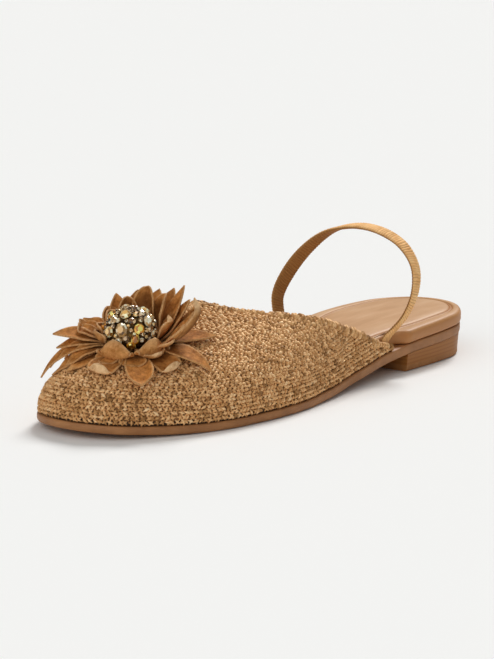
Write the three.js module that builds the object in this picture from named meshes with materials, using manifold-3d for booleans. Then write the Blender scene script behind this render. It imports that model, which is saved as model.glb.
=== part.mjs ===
// A left slingback flat: crocheted vamp, wrapped footbed, low stacked heel, elastic heel strap
// and a leather flower with a jewelled centre. Millimetres, floor at z = 0, toe towards -Y,
// outer side of the foot towards +X. Every height and width comes from the tables below.
import * as THREE from 'three';
import Module from 'manifold-3d';

const kernel = await Module();
kernel.setup();

const LENGTH = 250;
const GAP = 0.3;

// Plan of the sole: distance from the toe tip, middle of the section and its full width.
const OUTLINE = [
  { at: 0, centre: -5.2, width: 0 },
  { at: 6.5, centre: -5, width: 39.6 },
  { at: 24, centre: -3.6, width: 63 },
  { at: 43, centre: -1.7, width: 75.6 },
  { at: 62, centre: -0.4, width: 81.4 },
  { at: 80, centre: 0, width: 82.5 },
  { at: 100, centre: 0.9, width: 78.4 },
  { at: 122, centre: 0.9, width: 69.4 },
  { at: 148, centre: -0.5, width: 60 },
  { at: 177, centre: -2.8, width: 56.6 },
  { at: 205, centre: -4.8, width: 55.8 },
  { at: 228, centre: -5.3, width: 50.8 },
  { at: 245, centre: -5.3, width: 29.4 },
  { at: 250, centre: -5.3, width: 0 },
];

// Side profile: underside above the floor, outsole thickness and footbed thickness.
const PROFILE = [
  { at: 0, rise: 3, sole: 3.4, bed: 4 },
  { at: 15, rise: 1.6, sole: 3.5, bed: 4 },
  { at: 32, rise: 0.5, sole: 3.6, bed: 4 },
  { at: 48, rise: 0, sole: 3.6, bed: 4 },
  { at: 104, rise: 0, sole: 3.7, bed: 4.2 },
  { at: 130, rise: 1, sole: 3.9, bed: 4.6 },
  { at: 155, rise: 3.6, sole: 4.2, bed: 5.2 },
  { at: 177, rise: 6.5, sole: 4.5, bed: 5.6 },
  { at: 200, rise: 8.1, sole: 4.6, bed: 5.7 },
  { at: 250, rise: 9.8, sole: 4.5, bed: 5.7 },
];

// Top of the last: ridge height above the feather line and sideways place of the ridge.
const LAST = [
  { at: 0, crown: 0, ridge: -5.2 },
  { at: 4, crown: 12, ridge: -5 },
  { at: 10, crown: 18, ridge: -4.6 },
  { at: 20, crown: 22.4, ridge: -4 },
  { at: 40, crown: 26.6, ridge: -3.2 },
  { at: 65, crown: 32, ridge: -2.6 },
  { at: 92, crown: 37.4, ridge: -2.2 },
  { at: 125, crown: 46, ridge: -2.2 },
  { at: 150, crown: 52, ridge: -2.6 },
  { at: 181, crown: 58, ridge: -3.4 },
];
const SHOULDER = 2.4;

// Topline from the throat to the rear corner; out is the share from the ridge to the edge.
const TOPLINE = [
  { share: 0, at: 92, out: 0 },
  { share: 0.1, at: 92.5, out: 0.16 },
  { share: 0.2, at: 94.6, out: 0.31 },
  { share: 0.4, at: 104, out: 0.55 },
  { share: 0.6, at: 121, out: 0.765 },
  { share: 0.7, at: 131, out: 0.845 },
  { share: 0.8, at: 142, out: 0.915 },
  { share: 0.9, at: 158, out: 0.974 },
  { share: 0.95, at: 168, out: 0.9935 },
  { share: 1, at: 180, out: 0.9999 },
];
const REAR_CORNER = { outer: 180, inner: 171 };
const WALL = 1.8;
const WEAVE_ROWS = 10;
const WEAVE_RELIEF = 0.5;
const EDGING_RELIEF = 0.9;
const UPPER_COLUMNS = 56;

const SOLE_STATIONS = 90;
const HEEL_STATIONS = 26;
const HEEL_BREAST = 191;
const TOP_PIECE = 2.6;
const BED_OVERHANG = 0.4;
const BED_UNDER_WALL = 2.5;
const BED_AT_STRAP = 5.6;
const BED_FLUSH = 5;
const BED_DRAFT = 0.9;
const GROOVE_INSET = 4.8;
const GROOVE_UNDER = 9.6;
const GROOVE_DEPTH = 0.6;
const PAD_RISE = 0.6;

const BAND_WIDTH = 7.6;
const BAND_THICKNESS = 1.6;
const BAND_STATIONS = 44;

// Middle line of the heel strap, from the outer tail over the back of the heel to the inner tail.
const BAND_PATH = [
  { x: 21.7, y: 50.6, z: 14.2 },
  { x: 21.9, y: 54.6, z: 17.6 },
  { x: 25, y: 62, z: 25.4 },
  { x: 26.4, y: 67, z: 35.4 },
  { x: 24.6, y: 69.4, z: 45.6 },
  { x: 17.5, y: 69.6, z: 54.6 },
  { x: 6, y: 68, z: 60 },
  { x: -6, y: 65.6, z: 61 },
  { x: -17, y: 61.6, z: 57.6 },
  { x: -25.6, y: 56.4, z: 49.6 },
  { x: -30.6, y: 50, z: 39.6 },
  { x: -31, y: 43.4, z: 30.4 },
  { x: -27, y: 39.2, z: 21.8 },
  { x: -25.8, y: 36.8, z: 14.2 },
];

// Width direction of the strap over its length: it twists a little between its upright tails.
const BAND_LEAN = [
  { share: 0, x: 0, z: -0.17 },
  { share: 0.1, x: 0, z: -0.17 },
  { share: 0.25, x: -0.1, z: -0.22 },
  { share: 0.5, x: 0.1, z: -0.27 },
  { share: 0.75, x: 0.28, z: -0.22 },
  { share: 0.9, x: 0, z: -0.17 },
  { share: 1, x: 0, z: -0.17 },
];

const FLOWER = { x: -2, y: -86, hub: 12, face: 36, opens: 20, tilt: 14, lean: 0.3 };
const LEATHER = 0.9;
const STACK = 1.4;
const PETAL_ROWS = 5;

// One die-cut rosette per row: angles are lifts off the vamp at the hub and at the tip. Swing lays
// the petals of the open side lower, and shorter makes those that face the outer toe shorter.
const ROSETTES = [
  {
    name: 'petals_lower', hub: 12, petals: 10, length: 23.5, width: 12.5, from: 2, to: -4,
    point: 0.9, cup: 0.08, phase: 15, swing: 6, shorter: 0.24,
  },
  {
    name: 'petals_upper', hub: 12.8, petals: 10, length: 20, width: 12, from: 20, to: 50,
    point: 0.75, cup: 0.12, phase: 33, swing: 16, shorter: 0.18,
  },
  {
    name: 'petals_cup', hub: 11.2, petals: 6, length: 13, width: 14, from: 52, to: 78,
    point: 0.55, cup: 0.12, phase: 11.6, swing: 12, shorter: 0.2,
  },
];

// Rings of stones on the domed setting: angle from the top, stones in the ring and stone radius.
const STONES = [
  { from_top: 0, count: 1, radius: 2.8 },
  { from_top: 32, count: 6, radius: 2.5 },
  { from_top: 58, count: 10, radius: 2.2 },
  { from_top: 82, count: 13, radius: 1.9 },
];
const SETTING = { radius: 9.4, height: 10, rim: 0.8 };

// A smooth curve through the rows of a table, read by one column and giving another.
function through(rows, from, to) {
  const x = rows.map((row) => row[from]);
  const y = rows.map((row) => row[to]);
  const secant = y.slice(1).map((next, i) => (next - y[i]) / (x[i + 1] - x[i]));
  const slope = y.map((_, i) => {
    const before = secant[Math.max(0, i - 1)];
    const after = secant[Math.min(secant.length - 1, i)];
    return before * after <= 0 ? 0 : (2 * before * after) / (before + after);
  });
  return (value) => {
    const inside = THREE.MathUtils.clamp(value, x[0], x[x.length - 1]);
    const i = Math.min(x.length - 2, x.findLastIndex((start) => start <= inside));
    const span = x[i + 1] - x[i];
    const t = (inside - x[i]) / span;
    const bow = span * t * (1 - t) * ((1 - t) * slope[i] - t * slope[i + 1]);
    return y[i] + (y[i + 1] - y[i]) * t * t * (3 - 2 * t) + bow;
  };
}

// A closed body from shared corners and the faces between them.
class Body {
  constructor() {
    this.corners = [];
    this.faces = [];
  }

  add(point) {
    this.corners.push(point.x, point.y, point.z);
    return this.corners.length / 3 - 1;
  }

  tri(a, b, c) {
    this.faces.push(a, b, c);
  }

  quad(a, b, c, d) {
    this.tri(a, b, c);
    this.tri(a, c, d);
  }

  geometry() {
    const shape = new THREE.BufferGeometry();
    shape.setAttribute('position', new THREE.Float32BufferAttribute(this.corners, 3));
    shape.setIndex(this.faces);
    return shape;
  }
}

const turnOf = (at) => Math.acos(THREE.MathUtils.clamp(1 - (2 * at) / LENGTH, -1, 1));
const plan = OUTLINE.map((row) => ({ ...row, turn: turnOf(row.at) }));
const centreAt = through(plan, 'turn', 'centre');
const widthAt = through(plan, 'turn', 'width');
const riseAt = through(PROFILE, 'at', 'rise');
const soleAt = through(PROFILE, 'at', 'sole');
const bedAt = through(PROFILE, 'at', 'bed');
const ridgeAt = through(LAST, 'at', 'ridge');
const crowns = LAST.map((row) => ({ root: Math.sqrt(row.at), crown: row.crown }));
const crownAt = through(crowns, 'root', 'crown');
const soleTop = (at) => riseAt(at) + soleAt(at);
const featherAt = (at) => soleTop(at) + GAP;
const atOf = (y) => y + LENGTH / 2;

function edgeAt(at, side) {
  const turn = turnOf(at);
  return centreAt(turn) + (side * widthAt(turn)) / 2;
}

// Point of the sole's outline; turn runs 0 at the toe, over the outer side, to a full turn.
function outlinePoint(turn) {
  const wrapped = turn > Math.PI ? turn - 2 * Math.PI : turn;
  const half = Math.abs(wrapped);
  const x = centreAt(half) + (Math.sign(wrapped) * widthAt(half)) / 2;
  return new THREE.Vector2(x, (-LENGTH * Math.cos(half)) / 2);
}

function insetPoint(turn, inset) {
  const step = 0.012;
  const along = outlinePoint(turn + step).sub(outlinePoint(turn - step)).normalize();
  return outlinePoint(turn).add(new THREE.Vector2(-along.y * inset, along.x * inset));
}

// Ring of points at an inset from the outline, at a height that follows the distance from the toe.
function ring(turns, inset, height) {
  return turns.map((turn) => {
    const point = insetPoint(turn, typeof inset === 'function' ? inset(turn) : inset);
    return new THREE.Vector3(point.x, point.y, height(atOf(point.y)));
  });
}

// Closed slab through rings from its underside to its top; outer and inner sides pair up in the caps.
function slab(rings) {
  const body = new Body();
  const ids = rings.map((points) => points.map((point) => body.add(point)));
  const count = ids[0].length;
  for (let level = 0; level + 1 < ids.length; level += 1) {
    for (let k = 0; k < count; k += 1) {
      const next = (k + 1) % count;
      body.quad(ids[level][k], ids[level][next], ids[level + 1][next], ids[level + 1][k]);
    }
  }
  const under = ids[0];
  const over = ids[ids.length - 1];
  for (let k = 0; k + 1 < count / 2; k += 1) {
    const far = count - 1 - k;
    body.quad(over[k], over[k + 1], over[far - 1], over[far]);
    body.quad(under[far], under[far - 1], under[k + 1], under[k]);
  }
  return body.geometry();
}

const fullTurns = Array.from(
  { length: SOLE_STATIONS },
  (_, k) => (2 * Math.PI * (k + 0.5)) / SOLE_STATIONS,
);

// Leather outsole with a softened tread edge.
function outsole() {
  return slab([
    ring(fullTurns, 1.2, riseAt),
    ring(fullTurns, 0.2, (at) => riseAt(at) + 0.9),
    ring(fullTurns, 0, (at) => soleTop(at) - 0.6),
    ring(fullTurns, 0.5, soleTop),
  ]);
}

const breastTurn = turnOf(HEEL_BREAST);
const heelTurns = Array.from(
  { length: HEEL_STATIONS },
  (_, k) => breastTurn + (2 * (Math.PI - breastTurn) * k) / (HEEL_STATIONS - 1),
);

// Stacked heel: straight breast, sides tucked a little inside the outsole.
function heelBlock() {
  const foot = TOP_PIECE + GAP;
  return slab([
    ring(heelTurns, 1.1, () => foot),
    ring(heelTurns, 0.5, (at) => riseAt(at) - GAP),
  ]);
}

function heelTopPiece() {
  return slab([
    ring(heelTurns, 1.9, () => 0),
    ring(heelTurns, 1.2, () => 0.7),
    ring(heelTurns, 1.1, () => TOP_PIECE),
  ]);
}

// How far the footbed edge stands inside the outline: flush behind the upper, tucked in under it.
function bedInset(turn) {
  const y = outlinePoint(turn).y;
  const corner = (turn < Math.PI ? REAR_CORNER.outer : REAR_CORNER.inner) - LENGTH / 2;
  const toStrap = THREE.MathUtils.smoothstep(y, corner - 34, corner - 22);
  const toFlush = THREE.MathUtils.smoothstep(y, corner + BED_FLUSH, corner + BED_FLUSH + 7);
  const tucked = THREE.MathUtils.lerp(BED_UNDER_WALL, BED_AT_STRAP, toStrap);
  return THREE.MathUtils.lerp(tucked, -BED_OVERHANG, toFlush);
}

// Inset of the pressed line on the footbed: near the edge at the heel, farther in under the upper.
function grooveInset(turn) {
  const y = outlinePoint(turn).y;
  return THREE.MathUtils.lerp(GROOVE_UNDER, GROOVE_INSET, THREE.MathUtils.smoothstep(y, 40, 84));
}

// Leather-wrapped footbed with a rounded edge, a pressed line and a slightly raised pad.
function footbed() {
  const base = (at) => soleTop(at) + GAP;
  const top = (at) => base(at) + bedAt(at);
  const draft = (turn) => BED_DRAFT * THREE.MathUtils.clamp(bedInset(turn), 0, 1);
  const edge = (extra) => (turn) => bedInset(turn) + draft(turn) + extra;
  const line = (extra) => (turn) => grooveInset(turn) + extra;
  return slab([
    ring(fullTurns, (turn) => bedInset(turn) + 1, base),
    ring(fullTurns, bedInset, (at) => base(at) + 1.2),
    ring(fullTurns, edge(0), (at) => top(at) - 1.9),
    ring(fullTurns, edge(0.6), (at) => top(at) - 0.6),
    ring(fullTurns, edge(2), top),
    ring(fullTurns, line(0), top),
    ring(fullTurns, line(0.4), (at) => top(at) - GROOVE_DEPTH),
    ring(fullTurns, line(1.3), (at) => top(at) - GROOVE_DEPTH),
    ring(fullTurns, line(2), (at) => top(at) + PAD_RISE / 2),
    ring(fullTurns, line(6), (at) => top(at) + PAD_RISE),
  ]);
}

// Height of the vamp's skin over a place on the plan.
function skinHeight(x, y) {
  const at = atOf(y);
  const ridge = ridgeAt(at);
  const reach = Math.abs((x - ridge) / (edgeAt(at, x < ridge ? -1 : 1) - ridge || 1));
  const height = crownAt(Math.sqrt(Math.max(0, at)));
  return featherAt(at) + height * Math.sqrt(Math.max(0, 1 - reach ** SHOULDER));
}

const toplineAt = through(TOPLINE, 'share', 'at');
const toplineOut = through(TOPLINE, 'share', 'out');

// One rib of the vamp, from the feather line up to the topline, cut into even steps.
// Place runs from 1 at the outer rear corner, over 0 at the toe, to -1 at the inner rear corner.
function vampRib(place, steps) {
  const side = place < 0 ? -1 : 1;
  const share = Math.abs(place);
  const corner = side > 0 ? REAR_CORNER.outer : REAR_CORNER.inner;
  const startAt = (LENGTH * (1 - Math.cos(share * turnOf(corner)))) / 2;
  const stretch = (corner - TOPLINE[0].at) / (REAR_CORNER.outer - TOPLINE[0].at);
  const endAt = TOPLINE[0].at + (toplineAt(share) - TOPLINE[0].at) * stretch;
  const start = new THREE.Vector2(edgeAt(startAt, side), startAt - LENGTH / 2);
  const endX = THREE.MathUtils.lerp(ridgeAt(endAt), edgeAt(endAt, side), toplineOut(share));
  const end = new THREE.Vector2(endX, endAt - LENGTH / 2);
  const fine = Array.from({ length: 81 }, (_, k) => {
    const point = start.clone().lerp(end, (k / 80) ** 2);
    const z = k === 0 ? featherAt(startAt) : skinHeight(point.x, point.y);
    return new THREE.Vector3(point.x, point.y, z);
  });
  const run = [0];
  fine.slice(1).forEach((point, k) => run.push(run[k] + point.distanceTo(fine[k])));
  return Array.from({ length: steps + 1 }, (_, j) => {
    const wanted = (run[80] * j) / steps;
    const k = Math.min(79, run.findLastIndex((value) => value <= wanted));
    return fine[k].clone().lerp(fine[k + 1], (wanted - run[k]) / (run[k + 1] - run[k] || 1));
  });
}

// Crocheted vamp: one wall with its rows raised and a thicker edging along the topline.
function upper() {
  const steps = 2 * WEAVE_ROWS;
  const places = Array.from({ length: UPPER_COLUMNS + 1 }, (_, i) => 1 - (2 * i) / UPPER_COLUMNS);
  const skin = places.map((place) => vampRib(place, steps));
  const within = (value, most) => Math.min(most, Math.max(0, value));
  const at = (i, j) => skin[within(i, UPPER_COLUMNS)][within(j, steps)];
  const normal = (i, j) => {
    const up = at(i, j + 1).clone().sub(at(i, j - 1));
    const round = at(i + 1, j).clone().sub(at(i - 1, j));
    return up.cross(round).normalize();
  };
  const level = (i) => normal(i, 0).setZ(0).normalize();
  const relief = (j) => {
    if (j >= steps - 1) return EDGING_RELIEF;
    return j % 2 === 1 ? WEAVE_RELIEF : 0;
  };
  const body = new Body();
  const outer = skin.map((rib, i) => rib.map((point, j) => {
    return body.add(point.clone().addScaledVector(normal(i, j), relief(j)));
  }));
  const inner = skin.map((rib, i) => Array.from({ length: WEAVE_ROWS + 1 }, (_, m) => {
    const inward = m === 0 ? level(i) : normal(i, 2 * m);
    const point = rib[2 * m].clone().addScaledVector(inward, -WALL);
    if (m === 0) point.z = featherAt(point.y + LENGTH / 2);
    return body.add(point);
  }));
  for (let i = 0; i < UPPER_COLUMNS; i += 1) {
    for (let j = 0; j < steps; j += 1) {
      body.quad(outer[i][j], outer[i][j + 1], outer[i + 1][j + 1], outer[i + 1][j]);
    }
    for (let m = 0; m < WEAVE_ROWS; m += 1) {
      body.quad(inner[i][m], inner[i + 1][m], inner[i + 1][m + 1], inner[i][m + 1]);
    }
    body.quad(outer[i][0], outer[i + 1][0], inner[i + 1][0], inner[i][0]);
    body.quad(outer[i + 1][steps], outer[i][steps], inner[i][WEAVE_ROWS], inner[i + 1][WEAVE_ROWS]);
  }
  const last = UPPER_COLUMNS;
  for (let m = 0; m < WEAVE_ROWS; m += 1) {
    const j = 2 * m;
    body.tri(outer[0][j + 1], outer[0][j], inner[0][m]);
    body.tri(outer[0][j + 2], outer[0][j + 1], inner[0][m + 1]);
    body.tri(outer[0][j + 1], inner[0][m], inner[0][m + 1]);
    body.tri(outer[last][j], outer[last][j + 1], inner[last][m]);
    body.tri(outer[last][j + 1], outer[last][j + 2], inner[last][m + 1]);
    body.tri(inner[last][m], outer[last][j + 1], inner[last][m + 1]);
  }
  return body.geometry();
}

// Elastic heel strap: a flat band swept along its path, tails tucked between upper and footbed.
function slingbackStrap() {
  const marks = BAND_PATH.map((row) => new THREE.Vector3(row.x, row.y, row.z));
  const path = new THREE.CatmullRomCurve3(marks, false, 'centripetal');
  const leanX = through(BAND_LEAN, 'share', 'x');
  const leanZ = through(BAND_LEAN, 'share', 'z');
  const body = new Body();
  const half = BAND_WIDTH / 2;
  const thick = BAND_THICKNESS / 2;
  const soft = 0.5;
  const section = [
    [-half, -thick + soft],
    [-half + soft, -thick],
    [half - soft, -thick],
    [half, -thick + soft],
    [half, thick - soft],
    [half - soft, thick],
    [-half + soft, thick],
    [-half, thick - soft],
  ];
  const rings = Array.from({ length: BAND_STATIONS + 1 }, (_, k) => {
    const share = k / BAND_STATIONS;
    const middle = path.getPointAt(share);
    const along = path.getTangentAt(share);
    const lean = new THREE.Vector3(leanX(share), 0.97, leanZ(share));
    const across = lean.addScaledVector(along, -lean.dot(along)).normalize();
    const out = along.clone().cross(across);
    return section.map(([w, t]) => {
      return body.add(middle.clone().addScaledVector(across, w).addScaledVector(out, t));
    });
  });
  const count = section.length;
  for (let k = 0; k < BAND_STATIONS; k += 1) {
    for (let s = 0; s < count; s += 1) {
      const next = (s + 1) % count;
      body.quad(rings[k][s], rings[k][next], rings[k + 1][next], rings[k + 1][s]);
    }
  }
  for (let s = 1; s + 1 < count; s += 1) {
    body.tri(rings[0][0], rings[0][s + 1], rings[0][s]);
    body.tri(rings[BAND_STATIONS][0], rings[BAND_STATIONS][s], rings[BAND_STATIONS][s + 1]);
  }
  return body.geometry();
}

const faceTurn = THREE.MathUtils.degToRad(FLOWER.face);
const faceTilt = Math.tan(THREE.MathUtils.degToRad(FLOWER.tilt));
const openTurn = THREE.MathUtils.degToRad(FLOWER.opens);

// Height of the flower's tilted plane over its middle.
function flowerSlope(x, y) {
  return faceTilt * ((y - FLOWER.y) * Math.cos(faceTurn) - (x - FLOWER.x) * Math.sin(faceTurn));
}

// Height at which the flower's plane clears the crocheted skin under its hub.
function flowerSeat() {
  let seat = 0;
  for (let k = 0; k < 48; k += 1) {
    for (const radius of [0, FLOWER.hub / 2, FLOWER.hub + 1]) {
      const turn = (Math.PI * k) / 24;
      const x = FLOWER.x + radius * Math.sin(turn);
      const y = FLOWER.y - radius * Math.cos(turn);
      seat = Math.max(seat, skinHeight(x, y) - flowerSlope(x, y));
    }
  }
  return seat + WEAVE_RELIEF + GAP;
}
const seatHeight = flowerSeat();

// Ground that the petals follow: the flower's plane near the hub, draping over the vamp farther out.
function petalGround(x, y) {
  const flat = seatHeight + flowerSlope(x, y);
  const radius = Math.hypot(x - FLOWER.x, y - FLOWER.y);
  const near = Math.min(1, 31 / Math.max(radius, 1));
  const reachX = FLOWER.x + (x - FLOWER.x) * near;
  const reachY = FLOWER.y + (y - FLOWER.y) * near;
  const skin = skinHeight(reachX, reachY) + WEAVE_RELIEF + GAP;
  const drape = THREE.MathUtils.clamp(flat, skin + 1.5, skin + 2.5);
  return THREE.MathUtils.lerp(flat, drape, THREE.MathUtils.smoothstep(radius, FLOWER.hub, 22));
}

// Point on a petal: share along it, side across it from -1 to 1, depth through the leather.
function petalPoint(rosette, level, turn, along, side, depth) {
  const length = rosette.length * (1 - rosette.shorter * Math.cos(turn - faceTurn));
  const from = rosette.from - rosette.swing * Math.cos(turn - openTurn);
  let radius = rosette.hub;
  let rise = 0;
  const slices = 24;
  for (let k = 0; k < Math.round(slices * along); k += 1) {
    const bent = ((rosette.to - rosette.from) * (k + 0.5)) / slices;
    const angle = THREE.MathUtils.degToRad(from + bent);
    radius += (Math.cos(angle) * length) / slices;
    rise += (Math.sin(angle) * length) / slices;
  }
  const angle = THREE.MathUtils.degToRad(from + (rosette.to - rosette.from) * along);
  const room = radius * Math.tan(Math.PI / rosette.petals) * 0.94;
  const belly = Math.sin(Math.PI * (0.22 + 0.62 * along)) ** 0.8;
  const taper = 1 - along ** 3 * (0.55 + 0.4 * rosette.point);
  const half = Math.min(room, (rosette.width / 2) * belly * taper);
  const cup = rosette.cup * half * side * side * Math.min(1, 1.4 * along) + depth;
  const reach = radius - Math.sin(angle) * cup;
  const tilt = FLOWER.lean * rise;
  const x = FLOWER.x + Math.sin(turn) * reach + Math.cos(turn) * half * side + Math.sin(faceTurn) * tilt;
  const y = FLOWER.y - Math.cos(turn) * reach + Math.sin(turn) * half * side - Math.cos(faceTurn) * tilt;
  const z = petalGround(x, y) + level + rise + Math.cos(angle) * cup;
  return new THREE.Vector3(x, y, z);
}

// One rosette cut from a sheet: a flat hub whose rim is shared by the feet of its petals.
function rosetteGeometry(rosette, index) {
  const body = new Body();
  const level = index * STACK;
  const phase = THREE.MathUtils.degToRad(rosette.phase);
  const step = (2 * Math.PI) / rosette.petals;
  const faces = [0, LEATHER];
  const hub = faces.map((lift) => body.add(new THREE.Vector3(FLOWER.x, FLOWER.y, seatHeight + level + lift)));
  const rimPoint = (turn, radius, lift) => {
    const x = FLOWER.x + Math.sin(turn) * radius;
    const y = FLOWER.y - Math.cos(turn) * radius;
    return body.add(new THREE.Vector3(x, y, seatHeight + flowerSlope(x, y) + level + lift));
  };
  const corners = Array.from({ length: rosette.petals }, (_, k) => faces.map((lift) => {
    return rimPoint(phase + step * (k - 0.5), rosette.hub / Math.cos(step / 2), lift);
  }));
  for (let k = 0; k < rosette.petals; k += 1) {
    const turn = phase + step * k;
    const right = corners[(k + 1) % rosette.petals];
    const rows = [[corners[k], faces.map((lift) => rimPoint(turn, rosette.hub, lift)), right]];
    for (let r = 1; r <= PETAL_ROWS; r += 1) {
      const along = r / PETAL_ROWS;
      rows.push([-1, 0, 1].map((side) => faces.map((lift) => {
        return body.add(petalPoint(rosette, level, turn, along, side, lift));
      })));
    }
    for (const side of [0, 1]) {
      body.tri(hub[1], rows[0][side][1], rows[0][side + 1][1]);
      body.tri(hub[0], rows[0][side + 1][0], rows[0][side][0]);
      for (let r = 0; r < PETAL_ROWS; r += 1) {
        const [a, b] = [rows[r][side], rows[r][side + 1]];
        const [d, c] = [rows[r + 1][side], rows[r + 1][side + 1]];
        body.quad(a[1], d[1], c[1], b[1]);
        body.quad(b[0], c[0], d[0], a[0]);
      }
      const [m, n] = [rows[PETAL_ROWS][side], rows[PETAL_ROWS][side + 1]];
      body.quad(m[1], m[0], n[0], n[1]);
    }
    for (let r = 0; r < PETAL_ROWS; r += 1) {
      body.quad(rows[r][0][1], rows[r][0][0], rows[r + 1][0][0], rows[r + 1][0][1]);
      body.quad(rows[r + 1][2][1], rows[r + 1][2][0], rows[r][2][0], rows[r][2][1]);
    }
  }
  return body.geometry();
}

function solid(geometry) {
  const flat = geometry.index ? geometry.toNonIndexed() : geometry;
  const mesh = new kernel.Mesh({
    numProp: 3,
    vertProperties: new Float32Array(flat.attributes.position.array),
    triVerts: Uint32Array.from({ length: flat.attributes.position.count }, (_, k) => k),
  });
  mesh.merge();
  return new kernel.Manifold(mesh);
}

// Faceted stones set closely over a low dome, which rests on the innermost rosette.
function jewelCluster() {
  const arc = Array.from({ length: 5 }, (_, k) => {
    const turn = (Math.PI * (k + 1)) / 10;
    const out = Math.max(0, SETTING.radius * Math.cos(turn));
    return new THREE.Vector2(out, SETTING.rim + SETTING.height * Math.sin(turn));
  });
  const foot = [[0, 0], [SETTING.radius, 0], [SETTING.radius, SETTING.rim]];
  const dome = new THREE.LatheGeometry([...foot.map(([a, b]) => new THREE.Vector2(a, b)), ...arc], 20);
  dome.rotateX(Math.PI / 2);
  let cluster = solid(dome);
  STONES.forEach((row, order) => {
    for (let k = 0; k < row.count; k += 1) {
      const tip = THREE.MathUtils.degToRad(row.from_top);
      const turn = (2 * Math.PI * (k + 0.5 * order)) / row.count;
      const r = row.radius;
      const cut = [[0, -0.9], [0.98, 0], [0.98, 0.2], [0.55, 0.55], [0, 0.55]];
      const stone = new THREE.LatheGeometry(cut.map(([a, b]) => new THREE.Vector2(a * r, b * r)), 7);
      stone.rotateX(Math.PI / 2);
      stone.rotateX(tip);
      stone.rotateZ(turn);
      const out = SETTING.radius * Math.sin(tip);
      const lift = 1.2 + SETTING.height * Math.cos(tip);
      stone.translate(Math.sin(turn) * out, -Math.cos(turn) * out, lift);
      cluster = cluster.add(solid(stone));
    }
  });
  const mesh = cluster.getMesh();
  const geometry = new THREE.BufferGeometry();
  geometry.setAttribute('position', new THREE.Float32BufferAttribute(mesh.vertProperties, 3));
  geometry.setIndex(Array.from(mesh.triVerts));
  const upright = new THREE.Vector3(0, 0, 1);
  const facing = new THREE.Vector3(faceTilt * Math.sin(faceTurn), -faceTilt * Math.cos(faceTurn), 1);
  geometry.applyQuaternion(new THREE.Quaternion().setFromUnitVectors(upright, facing.normalize()));
  const lift = seatHeight + (ROSETTES.length - 1) * STACK + LEATHER + GAP;
  geometry.translate(FLOWER.x, FLOWER.y, lift);
  return geometry;
}

const FINISH = {
  outsole: { color: '#7a5237', roughness: 0.6, metalness: 0 },
  heel_block: { color: '#5d3d28', roughness: 0.55, metalness: 0 },
  heel_top_piece: { color: '#74503a', roughness: 0.65, metalness: 0 },
  footbed: { color: '#b98a5f', roughness: 0.5, metalness: 0 },
  upper: { color: '#94703f', roughness: 0.45, metalness: 0.35 },
  slingback_strap: { color: '#a87d49', roughness: 0.7, metalness: 0 },
  petals_lower: { color: '#86602f', roughness: 0.6, metalness: 0 },
  petals_upper: { color: '#8a6336', roughness: 0.6, metalness: 0 },
  petals_cup: { color: '#8f693c', roughness: 0.6, metalness: 0 },
  jewel_cluster: { color: '#d0a85c', roughness: 0.15, metalness: 0.1 },
};

const shoe = new THREE.Group();
shoe.name = 'slingback_flat';

function place(name, geometry) {
  const mesh = new THREE.Mesh(geometry, new THREE.MeshStandardMaterial(FINISH[name]));
  mesh.name = name;
  shoe.add(mesh);
}

place('outsole', outsole());
place('heel_block', heelBlock());
place('heel_top_piece', heelTopPiece());
place('footbed', footbed());
place('upper', upper());
place('slingback_strap', slingbackStrap());
ROSETTES.forEach((rosette, index) => place(rosette.name, rosetteGeometry(rosette, index)));
place('jewel_cluster', jewelCluster());

export default shoe;
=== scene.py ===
import math

import bpy
import numpy as np
from mathutils import Matrix, Vector


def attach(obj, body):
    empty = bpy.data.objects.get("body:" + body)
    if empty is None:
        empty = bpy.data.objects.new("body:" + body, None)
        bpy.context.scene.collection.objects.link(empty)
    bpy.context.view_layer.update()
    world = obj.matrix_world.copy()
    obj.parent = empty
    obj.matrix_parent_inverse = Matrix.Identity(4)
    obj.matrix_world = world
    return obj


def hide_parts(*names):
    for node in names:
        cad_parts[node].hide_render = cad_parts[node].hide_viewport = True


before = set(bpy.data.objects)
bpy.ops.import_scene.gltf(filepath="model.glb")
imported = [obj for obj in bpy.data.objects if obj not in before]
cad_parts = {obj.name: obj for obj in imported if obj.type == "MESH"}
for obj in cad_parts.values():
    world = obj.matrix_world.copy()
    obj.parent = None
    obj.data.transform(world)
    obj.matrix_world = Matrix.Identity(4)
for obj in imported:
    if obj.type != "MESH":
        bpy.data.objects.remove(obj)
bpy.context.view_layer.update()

# The view: a long lens two metres off and a little above the floor, looking at the toe and the outer
# side of the left shoe, with no roll.
bpy.ops.object.select_all(action="DESELECT")
bpy.ops.object.camera_add(
    location=(1.25193, -1.49831, 0.41765),
    rotation=(math.radians(78.6510), 0, math.radians(40.1502)),
)
camera = bpy.context.object
camera.data.sensor_width = 36
camera.data.lens = 255.7
camera.data.clip_end = 100
bpy.context.scene.camera = camera


# The studio: a wide matt white floor, a white surround that is dimmer below, and two soft lights, the
# brighter one high behind the shoe and a very broad one in front of it.
def srgb(code):
    """The linear colour of a hex code."""
    parts = [int(code[i:i + 2], 16) / 255 for i in (1, 3, 5)]
    return tuple(p / 12.92 if p <= 0.04045 else ((p + 0.055) / 1.055) ** 2.4 for p in parts) + (1.0,)


def fill(tree, node, inputs):
    """Gives a node its inputs, each a value or another node's output."""
    for name, value in inputs.items():
        if isinstance(value, bpy.types.NodeSocket):
            tree.links.new(value, node.inputs[name])
        else:
            node.inputs[name].default_value = value


def add(tree, kind, inputs, stops=(), **settings):
    """A shader node with its settings, inputs and colour stops."""
    made = tree.nodes.new(kind)
    for name, value in settings.items():
        setattr(made, name, value)
    fill(tree, made, inputs)
    for place, (at, code) in enumerate(stops):
        ramp = made.color_ramp.elements
        stop = ramp[place] if place < 2 else ramp.new(at)
        stop.position = at
        stop.color = srgb(code)
    return made


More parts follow.
